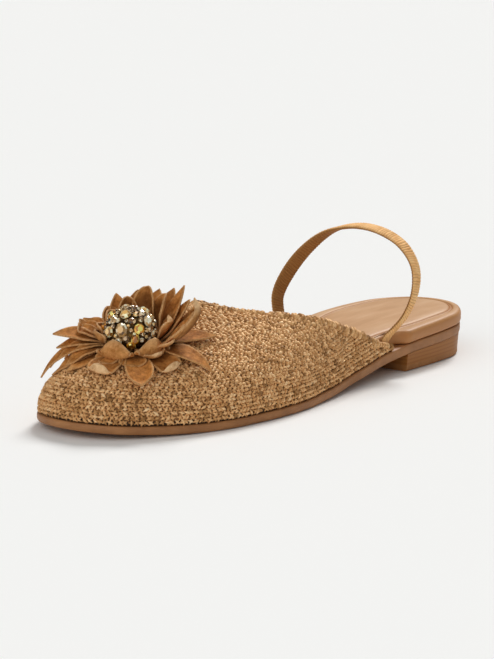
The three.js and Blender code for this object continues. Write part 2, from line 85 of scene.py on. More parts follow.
def material(name):
    """A new material, its node tree, its shader and its coordinates in metres."""
    made = bpy.data.materials.new(name)
    made.use_nodes = True
    tree = made.node_tree
    shader = tree.nodes["Principled BSDF"]
    place = add(tree, "ShaderNodeTexCoord", {}).outputs["Object"]
    return made, tree, shader, place


world = bpy.data.worlds.new("white_studio")
world.use_nodes = True
sky = world.node_tree
way = add(sky, "ShaderNodeTexCoord", {})
up = add(sky, "ShaderNodeSeparateXYZ", {"Vector": way.outputs["Generated"]})
level = add(sky, "ShaderNodeMapRange", {"Value": up.outputs["Z"], "To Min": 0.15, "To Max": 0.43})
fill(sky, sky.nodes["Background"], {"Color": srgb("#ffffff"), "Strength": level.outputs[0]})
bpy.context.scene.world = world
bpy.context.scene.view_settings.view_transform = "Standard"

for name, place, spread, power in (
    ("top_light", (-0.3, 0.85, 0.95), 18, 2.06),
    ("front_light", (0.2, -1, 0.5), 60, 0.86),
):
    aim = (-Vector(place)).to_track_quat("-Z", "Y")
    bpy.ops.object.light_add(type="SUN", location=place, rotation=aim.to_euler())
    lamp = bpy.context.object
    lamp.name = name
    lamp.data.angle = math.radians(spread)
    lamp.data.energy = power

bpy.ops.object.select_all(action="DESELECT")
bpy.ops.mesh.primitive_plane_add(size=40, location=(0, 0, -0.0002))
floor = bpy.context.object
floor.name = "floor"
paper, tree, shader, place = material("seamless_paper")
fill(tree, shader, {"Base Color": srgb("#fbfbf9"), "Roughness": 0.9, "Specular IOR Level": 0.1})
floor.data.materials.append(paper)

# Outsole: a thin sole of pressed leather cut to the plan of the last, its edge trimmed, dyed and
# waxed. It is glued under the lasted upper and curves up into the arch towards the heel.
MM = 0.001
LENGTH = 250.0
GAP = 0.3
EDGE_STEP = 0.012
# Distance from the toe, middle line and breadth.
SOLE_PLAN = (
    (0, -5.2, 0), (6.5, -5, 39.6), (24, -3.6, 63), (43, -1.7, 75.6), (62, -0.4, 81.4),
    (80, 0, 82.5), (100, 0.9, 78.4), (122, 0.9, 69.4), (148, -0.5, 60), (177, -2.8, 56.6),
    (205, -4.8, 55.8), (228, -5.3, 50.8), (245, -5.3, 29.4), (250, -5.3, 0),
)
# Distance from the toe, rise above the floor, depth of the sole and depth of the footbed.
SIDE_PROFILE = (
    (0, 3, 3.4, 4), (15, 1.6, 3.5, 4), (32, 0.5, 3.6, 4), (48, 0, 3.6, 4), (104, 0, 3.7, 4.2),
    (130, 1, 3.9, 4.6), (155, 3.6, 4.2, 5.2), (177, 6.5, 4.5, 5.6), (200, 8.1, 4.6, 5.7),
    (250, 9.8, 4.5, 5.7),
)


def through(rows, column, by=np.asarray):
    """A smooth run through one column of a table, read by its first column."""
    x = by(np.array([row[0] for row in rows], float))
    y = np.array([row[column] for row in rows], float)
    secant = np.diff(y) / np.diff(x)
    before = np.concatenate((secant[:1], secant))
    after = np.concatenate((secant, secant[-1:]))
    same = before * after > 0
    slope = np.where(same, 2 * before * after / np.where(same, before + after, 1), 0)

    def value(at):
        inside = np.clip(by(np.asarray(at, float)), x[0], x[-1])
        i = np.clip(np.searchsorted(x, inside, side="right") - 1, 0, len(x) - 2)
        span = x[i + 1] - x[i]
        t = (inside - x[i]) / span
        bow = span * t * (1 - t) * ((1 - t) * slope[i] - t * slope[i + 1])
        return y[i] + (y[i + 1] - y[i]) * t * t * (3 - 2 * t) + bow

    return value


def turn_of(at):
    """The turn on the plan's outline at a distance from the toe."""
    return np.arccos(np.clip(1 - 2 * np.asarray(at, float) / LENGTH, -1, 1))


middle = through(SOLE_PLAN, 1, turn_of)
breadth = through(SOLE_PLAN, 2, turn_of)
rise = through(SIDE_PROFILE, 1)
sole_depth = through(SIDE_PROFILE, 2)


def sole_top(at):
    return rise(at) + sole_depth(at)


def outline(turn):
    """Plan of the sole: turn runs from 0 at the toe, along the outer side, to a full turn."""
    wrapped = (np.asarray(turn) + np.pi) % (2 * np.pi) - np.pi
    at = LENGTH * (1 - np.cos(np.abs(wrapped))) / 2
    return np.stack([middle(at) + np.sign(wrapped) * breadth(at) / 2, at - LENGTH / 2], axis=-1)


def unit(rows):
    return rows / np.maximum(np.linalg.norm(rows, axis=-1, keepdims=True), 1e-9)


def inset_outline(turn, inset):
    """The plan drawn in by an inset, square to its edge."""
    along = unit(outline(turn + EDGE_STEP) - outline(turn - EDGE_STEP))
    inward = np.stack([-along[..., 1], along[..., 0]], axis=-1)
    return outline(turn) + inward * np.broadcast_to(inset, np.shape(turn))[..., None]


def drawn(name, points, closed=False, **marks):
    """A grid of faces drawn out over rows of points in millimetres, its seam and poles merged."""
    if closed:
        points = np.concatenate((points, points[:, :1]), axis=1)
        marks = {label: np.concatenate((value, value[:, :1]), axis=1) for label, value in marks.items()}
    rows, columns = points.shape[:2]
    bpy.ops.object.select_all(action="DESELECT")
    bpy.ops.mesh.primitive_grid_add(x_subdivisions=columns - 1, y_subdivisions=rows - 1, size=2)
    piece = bpy.context.object
    piece.name = name
    piece.data.name = name
    flat = np.empty(len(piece.data.vertices) * 3)
    piece.data.vertices.foreach_get("co", flat)
    flat = flat.reshape(-1, 3)
    i = np.rint((flat[:, 0] + 1) / 2 * (columns - 1)).astype(int)
    j = np.rint((flat[:, 1] + 1) / 2 * (rows - 1)).astype(int)
    piece.data.vertices.foreach_set("co", (points[j, i] * MM).ravel())
    for label, value in marks.items():
        mark = piece.data.attributes.new(label, "FLOAT", "POINT")
        mark.data.foreach_set("value", value[j, i].astype(np.float32))
    bpy.ops.object.mode_set(mode="EDIT")
    bpy.ops.mesh.select_all(action="SELECT")
    bpy.ops.mesh.remove_doubles(threshold=0.000002)
    if closed:
        bpy.ops.mesh.normals_make_consistent(inside=False)
    bpy.ops.object.mode_set(mode="OBJECT")
    bpy.ops.object.shade_smooth()
    return piece


def slab(name, turns, rings, front, back, steps=8, lines=()):
    """A closed slab through rings of (inset, height); both faces run in to its middle line."""
    levels = []
    for inset, height in rings:
        plan = inset_outline(turns, inset)
        levels.append(np.column_stack((plan, height(plan[:, 1] + LENGTH / 2))))
    at = np.clip(outline(turns)[:, 1] + LENGTH / 2, front, back)
    line = np.column_stack((middle(at), at - LENGTH / 2))

    def face(level, height):
        for share in np.linspace(0, 1, steps + 1)[1:]:
            plan = level[:, :2] * (1 - share) + line * share
            yield np.column_stack((plan, height(plan[:, 1] + LENGTH / 2)))

    under = list(face(levels[0], rings[0][1]))[::-1]
    over = list(face(levels[-1], rings[-1][1]))
    rows = np.array(under + levels + over)
    pressed = np.zeros(rows.shape[:2])
    for k, depth in lines:
        pressed[steps + k] = depth
    return drawn(name, rows, closed=True, pressed=pressed)


def finished(piece, slot, *nodes):
    """The piece moves with the shoe and stands for the named solids; its slot is not used."""
    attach(piece, "root")
    if nodes:
        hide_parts(*nodes)


around = np.linspace(0, 2 * np.pi, 360, endpoint=False) + np.pi / 360
outsole = slab("outsole_leather", around, (
    (1.2, rise),
    (0.55, lambda at: rise(at) + 0.22),
    (0.18, lambda at: rise(at) + 0.75),
    (0, lambda at: rise(at) + 1.5),
    (0, lambda at: sole_top(at) - 0.8),
    (0.12, lambda at: sole_top(at) - 0.25),
    (0.5, sole_top),
), front=30, back=226)

# Pressed vegetable-tanned leather: mid brown with blotches about 9 mm across, short fibres about 1 mm
# long in the cut edge, drawn coarse to show, and a dull wax gloss.
sole_leather, tree, shader, place = material("dyed_sole_leather")
blotch = add(tree, "ShaderNodeTexNoise", {"Vector": place, "Scale": 110, "Detail": 4})
tint = add(tree, "ShaderNodeValToRGB", {"Fac": blotch.outputs["Fac"]},
           stops=((0.3, "#99673e"), (0.7, "#b57f4f")))
fibre_place = add(tree, "ShaderNodeMapping", {"Vector": place, "Scale": (1, 1, 5)})
fibre = add(tree, "ShaderNodeTexNoise",
            {"Vector": fibre_place.outputs["Vector"], "Scale": 900, "Detail": 3})
bump = add(tree, "ShaderNodeBump",
           {"Height": fibre.outputs["Fac"], "Strength": 0.35, "Distance": 0.0003})
fill(tree, shader, {
    "Base Color": tint.outputs["Color"], "Normal": bump.outputs["Normal"], "Roughness": 0.5,
    "Specular IOR Level": 0.3,
})
outsole.data.materials.append(sole_leather)
finished(outsole, "outsole", "outsole")

# Heel: a low block of stacked leather lifts glued under the heel seat, trimmed flush and burnished,
# with a harder top piece nailed on below it as the wearing layer.
HEEL_BREAST = 191
TOP_PIECE = 2.6
breast_turn = float(turn_of(HEEL_BREAST))
heel_turns = np.linspace(breast_turn, 2 * np.pi - breast_turn, 140)
heel_block = slab("heel_stack", heel_turns, (
    (1.1, lambda at: np.full_like(at, TOP_PIECE)),
    (0.9, lambda at: TOP_PIECE + (rise(at) - TOP_PIECE) * 0.35),
    (0.7, lambda at: TOP_PIECE + (rise(at) - TOP_PIECE) * 0.7),
    (0.5, lambda at: rise(at) + 0.1),
), front=208, back=226)
top_piece = slab("heel_top_lift", heel_turns, (
    (1.9, lambda at: np.zeros_like(at)),
    (1.4, lambda at: np.full_like(at, 0.25)),
    (1.15, lambda at: np.full_like(at, 0.75)),
    (1.1, lambda at: np.full_like(at, TOP_PIECE)),
), front=208, back=226)
for piece in (heel_block, top_piece):
    bpy.ops.object.select_all(action="DESELECT")
    piece.select_set(True)
    bpy.context.view_layer.objects.active = piece
    bpy.ops.object.shade_smooth_by_angle(angle=math.radians(40))

# Burnished lifts: warm mid brown, with faint darker lines between layers about 1.7 mm thick and a dull
# gloss over a fine grain.
stacked, tree, shader, place = material("burnished_stacked_leather")
layers = add(tree, "ShaderNodeTexWave",
             {"Vector": place, "Scale": 185, "Distortion": 0.6, "Detail": 2, "Detail Scale": 1},
             bands_direction="Z")
tint = add(tree, "ShaderNodeValToRGB", {"Fac": layers.outputs["Fac"]},
           stops=((0.0, "#985f2e"), (0.3, "#a06832"), (0.9, "#a56d36")))
grain = add(tree, "ShaderNodeTexNoise", {"Vector": place, "Scale": 700, "Detail": 3})
bump = add(tree, "ShaderNodeBump",
           {"Height": grain.outputs["Fac"], "Strength": 0.3, "Distance": 0.0003})
fill(tree, shader, {
    "Base Color": tint.outputs["Color"], "Normal": bump.outputs["Normal"], "Roughness": 0.45,
    "Specular IOR Level": 0.15,
})
heel_block.data.materials.append(stacked)
finished(heel_block, "heel_block", "heel_block")

# Moulded top lift: brown rubber, matt, with scuffs about 2.5 mm long.
rubber, tree, shader, place = material("moulded_heel_rubber")
scuff = add(tree, "ShaderNodeTexNoise", {"Vector": place, "Scale": 400, "Detail": 5})
tint = add(tree, "ShaderNodeValToRGB", {"Fac": scuff.outputs["Fac"]},
           stops=((0.35, "#9c6734"), (0.75, "#ac7641")))
bump = add(tree, "ShaderNodeBump",
           {"Height": scuff.outputs["Fac"], "Strength": 0.2, "Distance": 0.0002})
fill(tree, shader, {
    "Base Color": tint.outputs["Color"], "Normal": bump.outputs["Normal"], "Roughness": 0.7,
})
top_piece.data.materials.append(rubber)
finished(top_piece, "heel_top_piece", "heel_top_piece")

# Footbed: a board with thin foam on it, wrapped in smooth tan leather that turns under at the edge.
# Two lines are pressed round it a few millimetres in, and the pad swells a little inside them.
REAR_CORNER = (180, 171)
# Inset of the edge under the vamp, at the strap and behind it, and of the pressed lines at the waist,
# the seat and the back.
BED_TUCK = (2.5, 5.6, -0.4)
PRESSED_IN = (9.6, 4.8, 3.1)
# Rings of the slab made browner and how far: its edge, fading over the shoulder, and both lines. It is
# partly burnished leather and partly painted shade.
BURNISH_AND_SHADE = [(k, 0.75) for k in range(5)] + [(5, 0.6), (6, 0.4), (7, 0.2), (8, 0.05)]
BURNISH_AND_SHADE += [(k, 0.8) for k in (11, 12, 13, 15, 16, 17)]
bed_depth = through(SIDE_PROFILE, 3)


def ease(value, start, end):
    """A smooth step from 0 to 1 between start and end."""
    t = np.clip((value - start) / (end - start), 0, 1)
    return t * t * (3 - 2 * t)


bed_y = outline(around)[:, 1]
corner = np.where(around < np.pi, REAR_CORNER[0], REAR_CORNER[1]) - LENGTH / 2
bed_edge = BED_TUCK[0] + (BED_TUCK[1] - BED_TUCK[0]) * ease(bed_y, corner - 34, corner - 22)
bed_edge += (BED_TUCK[2] - bed_edge) * ease(bed_y, corner + 5, corner + 12)
shoulder = bed_edge + 0.9 * np.clip(bed_edge, 0, 1)
pressed = PRESSED_IN[0] + (PRESSED_IN[1] - PRESSED_IN[0]) * ease(bed_y, 40, 84)
pressed += (PRESSED_IN[2] - PRESSED_IN[1]) * ease(bed_y, 90, 118)


def bed_base(at):
    return sole_top(at) + GAP


def bed_top(lift):
    return lambda at: bed_base(at) + bed_depth(at) + lift


footbed = slab("footbed_wrapped", around, (
    (bed_edge + 1, bed_base),
    (bed_edge + 0.28, lambda at: bed_base(at) + 0.4),
    (bed_edge, lambda at: bed_base(at) + 1.2),
    ((bed_edge + shoulder) / 2, bed_top(-2.7)),
    (shoulder, bed_top(-1.9)),
    (shoulder + 0.22, bed_top(-1.15)),
    (shoulder + 0.6, bed_top(-0.6)),
    (shoulder + 1.2, bed_top(-0.2)),
    (shoulder + 2, bed_top(0)),
    (pressed - 0.5, bed_top(0.04)),
    (pressed, bed_top(-0.05)),
    (pressed + 0.25, bed_top(-0.4)),
    (pressed + 0.45, bed_top(-0.6)),
    (pressed + 0.65, bed_top(-0.4)),
    (pressed + 0.95, bed_top(-0.1)),
    (pressed + 1.25, bed_top(-0.35)),
    (pressed + 1.45, bed_top(-0.55)),
    (pressed + 1.65, bed_top(-0.35)),
    (pressed + 2.1, bed_top(0.1)),
    (pressed + 3, bed_top(0.34)),
    (pressed + 4.4, bed_top(0.5)),
    (pressed + 6.5, bed_top(0.6)),
), front=34, back=222, steps=10, lines=BURNISH_AND_SHADE)

# Smooth calf lining leather: warm tan with mottling about 5 mm wide drawn out along the foot, a pebble
# drawn coarse at 0.7 mm to show, and a low sheen. It is browner on the edge wall and in the pressed
# lines, partly burnished and partly painted shade.
calf, tree, shader, place = material("smooth_tan_calf")
drawn_out = add(tree, "ShaderNodeMapping", {"Vector": place, "Scale": (1, 0.2, 1)})
mottle = add(tree, "ShaderNodeTexNoise",
             {"Vector": drawn_out.outputs["Vector"], "Scale": 190, "Detail": 5})
tint = add(tree, "ShaderNodeValToRGB", {"Fac": mottle.outputs["Fac"]},
           stops=((0.28, "#c7935d"), (0.52, "#d2a06d"), (0.76, "#dbaf80")))
# Painted shade with some burnish: the edge wall and the pressed lines mixed towards brown.
line = add(tree, "ShaderNodeAttribute", {}, attribute_name="pressed")
tint = add(tree, "ShaderNodeMix", {0: line.outputs["Fac"], 6: tint.outputs["Color"], 7: srgb("#b2733a")},
           data_type="RGBA")
pebble = add(tree, "ShaderNodeTexVoronoi", {"Vector": place, "Scale": 1500})
bump = add(tree, "ShaderNodeBump",
           {"Height": pebble.outputs["Distance"], "Strength": 0.18, "Distance": 0.0002})
fill(tree, shader, {
    "Base Color": tint.outputs[2], "Normal": bump.outputs["Normal"], "Roughness": 0.5,
    "Coat Weight": 0.03, "Specular IOR Level": 0.35, "Coat Roughness": 0.3,
})
footbed.data.materials.append(calf)
finished(footbed, "footbed", "footbed")

# Vamp lining: a thin dyed backing lasted over the forefoot under the crochet, pulled under and glued at
# the sole. It shows between the stitches and inside the shoe, and ends just under the topline.
LINING_IN, LINING_SHORT, LINING_WALL = 1.2, 1.0, 1.0
# Distance from the toe, height of the crown and the ridge's place across.
LAST_TOP = (
    (0, 0, -5.2), (4, 12, -5), (10, 18, -4.6), (20, 22.4, -4), (40, 26.6, -3.2), (65, 32, -2.6),
    (92, 37.4, -2.2), (125, 46, -2.2), (150, 52, -2.6), (181, 58, -3.4),
)
SHOULDER_POWER = 2.4
# Share of the way round from the toe, distance from the toe and share of the way out to the side.
TOPLINE = (
    (0, 92, 0), (0.1, 92.5, 0.16), (0.2, 94.6, 0.31), (0.4, 104, 0.55), (0.6, 121, 0.765),
    (0.7, 131, 0.845), (0.8, 142, 0.915), (0.9, 158, 0.974), (0.95, 168, 0.9935), (1, 180, 0.9999),
)
THROAT, TOPLINE_END = TOPLINE[0][1], TOPLINE[-1][1]
crown = through(LAST_TOP, 1, np.sqrt)
ridge = through(LAST_TOP, 2)
topline_at = through(TOPLINE, 1)
topline_out = through(TOPLINE, 2)


def side_edge(at, side):
    return middle(at) + side * breadth(at) / 2


def skin_height(x, y):
    """Height of the vamp's skin over a place on the plan."""
    at = np.clip(y + LENGTH / 2, 0, LENGTH)
    span = side_edge(at, np.where(x < ridge(at), -1, 1)) - ridge(at)
    reach = np.abs((x - ridge(at)) / np.where(span == 0, 1, span))
    return bed_base(at) + crown(at) * np.sqrt(np.clip(1 - reach ** SHOULDER_POWER, 0, 1))


def running_length(points):
    return np.concatenate(([0], np.cumsum(np.linalg.norm(np.diff(points, axis=0), axis=1))))


def at_run(run, points, distance):
    """Places at distances along a line of points whose running lengths are known."""
    return np.column_stack([np.interp(distance, run, points[:, k]) for k in range(3)])


def vamp_rib(place, count=121):
    """A line over the vamp from the feather line to the topline; place 1 outer, 0 toe, -1 inner."""
    side = -1 if place < 0 else 1
    share = abs(place)
    rear = REAR_CORNER[0] if side > 0 else REAR_CORNER[1]
    start_at = LENGTH * (1 - math.cos(share * float(turn_of(rear)))) / 2
    end_at = THROAT + (topline_at(share) - THROAT) * (rear - THROAT) / (TOPLINE_END - THROAT)
    end_x = ridge(end_at) + (side_edge(end_at, side) - ridge(end_at)) * topline_out(share)
    s = np.linspace(0, 1, count) ** 2
    x = side_edge(start_at, side) + (end_x - side_edge(start_at, side)) * s
    y = start_at + (end_at - start_at) * s - LENGTH / 2
    z = skin_height(x, y)
    z[0] = bed_base(start_at)
    points = np.column_stack((x, y, z))
    return points, running_length(points)


def along_rib(rib, distance):
    return at_run(rib[1], rib[0], distance)


def grid_normals(points):
    """Outward normals of a grid of ribs (rows run up the rib, columns round the vamp)."""
    up = np.gradient(points, axis=0)
    onward = np.gradient(points, axis=1)
    return unit(np.cross(up, onward))


RIBS = [vamp_rib(place) for place in np.linspace(1, -1, 401)]
lined = []
for rib in RIBS[::2]:
    top = max(rib[1][-1] - LINING_SHORT, 0.6 * rib[1][-1])
    lined.append(along_rib(rib, np.linspace(0, top, 49)))
lined = np.stack(lined, axis=1)
lining = drawn("vamp_lining", (lined - LINING_IN * grid_normals(lined))[:, ::-1])
wall = lining.modifiers.new("wall", "SOLIDIFY")
wall.thickness = LINING_WALL * MM
wall.offset = -1
bpy.ops.object.modifier_apply(modifier="wall")

# Dyed net backing: mid brown, uneven by the thread at about 1 mm, with a painted shadow that goes nearly
# black along the feather line.
net, tree, shader, place = material("dyed_net_backing")
weft = add(tree, "ShaderNodeTexNoise", {"Vector": place, "Scale": 900, "Detail": 2})
tint = add(tree, "ShaderNodeValToRGB", {"Fac": weft.outputs["Fac"]},
           stops=((0.3, "#8d6238"), (0.7, "#b2814e")))
sheet_place = add(tree, "ShaderNodeUVMap", {})
split = add(tree, "ShaderNodeSeparateXYZ", {"Vector": sheet_place.outputs["UV"]})
# Painted shadow: nearly black in a thin strip along the feather line.
feather_shadow = add(tree, "ShaderNodeMapRange",
          {"Value": split.outputs["Y"], "From Min": 0.03, "From Max": 0.015, "To Max": 0.9})
tint = add(tree, "ShaderNodeMix", {0: feather_shadow.outputs[0], 6: tint.outputs["Color"], 7: srgb("#1c1008")},
           data_type="RGBA")
fill(tree, shader, {"Base Color": tint.outputs[2], "Roughness": 0.8})
lining.data.materials.append(net)
finished(lining, "upper", "upper")

# Crochet: a flat metallic raffia yarn worked in close rows that run parallel to the sole round the
# toe. Each stitch is two short plump strands crossed over each other, and leans the other way in the
# next row.
FIRST_ROW = 1.3
ROW_PITCH = 1.9
STITCH_PITCH = 2.2
ROWS = 80
ROW_SLANTS = (1, -1, 1, -1)
STITCH_JITTER, STITCH_REACH = 0.32, 0.6
BELOW_TOPLINE = 1.1
TONE_SPREAD = 0.14
chance = np.random.default_rng(7)


def strand(start, end, bulge, half_width, half_depth, rings=4, sides=4):
    """A short strand as points and faces, arched over from start to end and narrowed at its ends."""
    start, end = np.array(start), np.array(end)
    along = (end - start) / np.linalg.norm(end - start)
    across = np.cross((0, 0, 1), along)
    points, faces = [], []
    for k in range(rings):
        t = k / (rings - 1)
        body = 0.45 + 0.55 * math.sin(math.pi * (0.08 + 0.84 * t))
        core = start + (end - start) * t + np.array((0, 0, bulge * math.sin(math.pi * t)))
        for s in range(sides):
            turn = 2 * math.pi * (s + 0.5) / sides
            points.append(core + across * math.cos(turn) * half_width * body
                          + np.array((0, 0, 1)) * math.sin(turn) * half_depth * body)
    for k in range(rings - 1):
        for s in range(sides):
            n = (s + 1) % sides
            faces.append((k * sides + s, k * sides + n, (k + 1) * sides + n, (k + 1) * sides + s))
    faces.append(tuple(range(sides))[::-1])
    faces.append(tuple(range((rings - 1) * sides, rings * sides)))
    return np.array(points), faces


def copies(name, parts, frames, tones):
    """One mesh of many copies of a small shape, each in its own frame, with a tone for its yarn."""
    shape = np.concatenate([points for points, _ in parts])
    faces, start = [], 0
    for points, part_faces in parts:
        faces += [tuple(start + v for v in face) for face in part_faces]
        start += len(points)
    base, axes = frames
    placed = base[:, None, :] + np.einsum("vk,nkc->nvc", shape, axes)
    count = len(shape)
    loops = [tuple(v + n * count for v in face) for n in range(len(base)) for face in faces]
    mesh = bpy.data.meshes.new(name)
    mesh.from_pydata((placed.reshape(-1, 3) * MM).tolist(), [], loops)
    tone = mesh.attributes.new("tone", "FLOAT", "POINT")
    strands = np.concatenate([np.full(len(points), k) for k, (points, _) in enumerate(parts)])
    shifts = chance.normal(0, TONE_SPREAD, (len(base), len(parts)))
    shades = tones[:, None] + shifts[:, strands.astype(int)]
    tone.data.foreach_set("value", np.clip(shades, 0, 1).ravel().astype(np.float32))
    mesh.shade_smooth()
    piece = bpy.data.objects.new(name, mesh)
    bpy.context.collection.objects.link(piece)
    return piece


def worked_row(distance):
    """Even stitch places on the line at one distance above the feather line, with their axes."""
    inside = [rib for rib in RIBS if rib[1][-1] >= distance + BELOW_TOPLINE]
    line = np.concatenate([along_rib(rib, [distance]) for rib in inside])
    above = np.concatenate([along_rib(rib, [min(distance + 0.8, rib[1][-1])]) for rib in inside])
    below = np.concatenate([along_rib(rib, [max(distance - 0.8, 0)]) for rib in inside])
    run = running_length(line)
    shift = STITCH_PITCH * chance.uniform(0.1, 0.9)
    wanted = np.arange(shift, run[-1], STITCH_PITCH)
    wanted = wanted + chance.normal(0, STITCH_JITTER, len(wanted))
    onward = at_run(run, line, wanted + STITCH_REACH) - at_run(run, line, wanted - STITCH_REACH)
    up = at_run(run, above, wanted) - at_run(run, below, wanted)
    return at_run(run, line, wanted), onward, up


def axes_of(onward, up, twist, size):
    """Unit axes along the row, up the rib and out of the vamp, turned and sized a little."""
    normal = unit(np.cross(up, onward))
    onward = unit(onward)
    up = np.cross(onward, normal)
    cos, sin = np.cos(twist)[:, None], np.sin(twist)[:, None]
    axes = np.stack((onward * cos + up * sin, up * cos - onward * sin, normal), axis=1)
    return axes * size[:, None, None]


last_row = max(rib[1][-1] for rib in RIBS) - 2.5
crochet = []
for start, slant in enumerate(ROW_SLANTS):
    rows = []
    for k in range(start, ROWS, len(ROW_SLANTS)):
        distance = FIRST_ROW + ROW_PITCH * k
        if distance < last_row:
            rows.append(worked_row(distance))
    places, ways, ups = (np.concatenate(part) for part in zip(*rows))
    count = len(places)
    axes = axes_of(ways, ups, chance.normal(0, 0.36, count), chance.uniform(0.85, 1.15, count))
    places = places + unit(axes[:, 2]) * chance.uniform(-1.25, -0.95, count)[:, None]
    stitch = [
        strand((-1.25 * slant, -0.8, 0.0), (1.25 * slant, 0.8, 0.0), 0.85, 0.6, 0.5),
        strand((0.8 * slant, -1.15, -0.1), (-0.8 * slant, 1.15, -0.1), 0.5, 0.6, 0.45),
    ]
    tones = chance.uniform(0.2, 0.72, count)
    crochet.append(copies(f"vamp_crochet_{start + 1}", stitch, (places, axes), tones))

# Metallic raffia: bronze tan with a low satin glint, its tone changing from strand to strand, and with
# fibres drawn coarse at 0.6 mm to show.
raffia, tree, shader, place = material("metallic_raffia_crochet")
tone = add(tree, "ShaderNodeAttribute", {}, attribute_name="tone")
tint = add(tree, "ShaderNodeValToRGB", {"Fac": tone.outputs["Fac"]},
           stops=((0.0, "#9c6e3c"), (1.0, "#f8d3a0"), (0.35, "#d7a267"), (0.7, "#f3c48a")))
fibre = add(tree, "ShaderNodeTexNoise", {"Vector": place, "Scale": 1600, "Detail": 3})
bump = add(tree, "ShaderNodeBump",
           {"Height": fibre.outputs["Fac"], "Strength": 0.5, "Distance": 0.0003})
fill(tree, shader, {
    "Base Color": tint.outputs["Color"], "Normal": bump.outputs["Normal"], "Metallic": 0.18,
    "Roughness": 0.5, "Specular IOR Level": 0.3,
})
for piece in crochet:
    piece.data.materials.append(raffia)
    finished(piece, "upper")

# Edging: a last crocheted row of picots along the topline, each two crossed strands over one that lies
# along the edge. They differ in size, so the edge looks tufted.
PICOT_PITCH = 2.3
PICOT_DROP, PICOT_ROOT = 0.9, 2.1
TALL_RIBS = [rib for rib in RIBS if rib[1][-1] > 1.4]
ends = np.concatenate([along_rib(rib, [rib[1][-1] - PICOT_DROP]) for rib in TALL_RIBS])
roots = np.concatenate([along_rib(rib, [rib[1][-1] - PICOT_ROOT]) for rib in TALL_RIBS])
run = running_length(ends)
wanted = np.arange(1, run[-1], PICOT_PITCH)
wanted = wanted + chance.normal(0, 0.45, len(wanted))
base = at_run(run, ends, wanted)
onward = at_run(run, ends, wanted + 0.8) - at_run(run, ends, wanted - 0.8)
axes = axes_of(onward, base - at_run(run, roots, wanted), chance.normal(0, 0.4, len(wanted)),
               chance.uniform(0.8, 1.7, len(wanted)))
base = base - 0.8 * axes[:, 2]
picot = [
    strand((-0.9, -1.7, 0.1), (0.7, 1.1, 0.0), 0.75, 0.62, 0.55),
    strand((0.9, -1.7, 0.0), (-0.7, 1.1, 0.1), 0.75, 0.62, 0.55),
    strand((-1.2, 0.2, -0.3), (1.2, 0.3, -0.3), 0.5, 0.7, 0.7),
]
edging = copies("topline_picots", picot, (base, axes), chance.uniform(0.05, 0.65, len(base)))
edging.data.materials.append(raffia)
finished(edging, "upper")

# Heel strap: a flat elastic in a sewn tube of thin metallic leather cut longer than the elastic, so
# that it gathers into fine crosswise folds. Its tails go down between the vamp and the footbed.
BAND_WIDTH, BAND_DEPTH = 7.6, 1.6
BAND_SIDES, BAND_STEPS = 24, 1300
FOLDS = 300
FOLD_FLARE, FOLD_DEPTH, FOLD_MIDDLE = 0.24, 0.36, 0.6
BAND_PATH = np.array((
    (21.7, 50.6, 14.2), (21.9, 54.6, 17.6), (25, 62, 25.4), (26.4, 67, 35.4), (24.6, 69.4, 45.6),
    (17.5, 69.6, 54.6), (6, 68, 60), (-6, 65.6, 61), (-17, 61.6, 57.6), (-25.6, 56.4, 49.6),
    (-30.6, 50, 39.6), (-31, 43.4, 30.4), (-27, 39.2, 21.8), (-25.8, 36.8, 14.2),
))
# Share of the way along the band, and how far its width leans sideways and up there.
BAND_LEAN = (
    (0, -0.3, -0.17), (0.1, -0.4, -0.17), (0.25, -0.2, -0.2), (0.4, 0.05, 0), (0.54, 0.15, 0.08),
    (0.75, 0.28, -0.2), (0.9, 0, -0.17), (1, 0, -0.17),
)


def curve_through(marks, count):
    """Even points on a centripetal curve through the marks."""
    ends = np.vstack((2 * marks[0] - marks[1], marks, 2 * marks[-1] - marks[-2]))
    fine = []
    for p0, p1, p2, p3 in zip(ends, ends[1:], ends[2:], ends[3:]):
        d0, d1, d2 = (np.linalg.norm(b - a) ** 0.5 for a, b in ((p0, p1), (p1, p2), (p2, p3)))
        leave = ((p1 - p0) / d0 - (p2 - p0) / (d0 + d1) + (p2 - p1) / d1) * d1
        arrive = ((p2 - p1) / d1 - (p3 - p1) / (d1 + d2) + (p3 - p2) / d2) * d1
        t = np.linspace(0, 1, 80, endpoint=False)[:, None]
        fine.append(p1 + leave * t + (3 * (p2 - p1) - 2 * leave - arrive) * t ** 2
                    + (2 * (p1 - p2) + leave + arrive) * t ** 3)
    fine = np.vstack(fine + [marks[-1:]])
    run = running_length(fine)
    even = np.linspace(0, run[-1], count)
    return at_run(run, fine, even), even


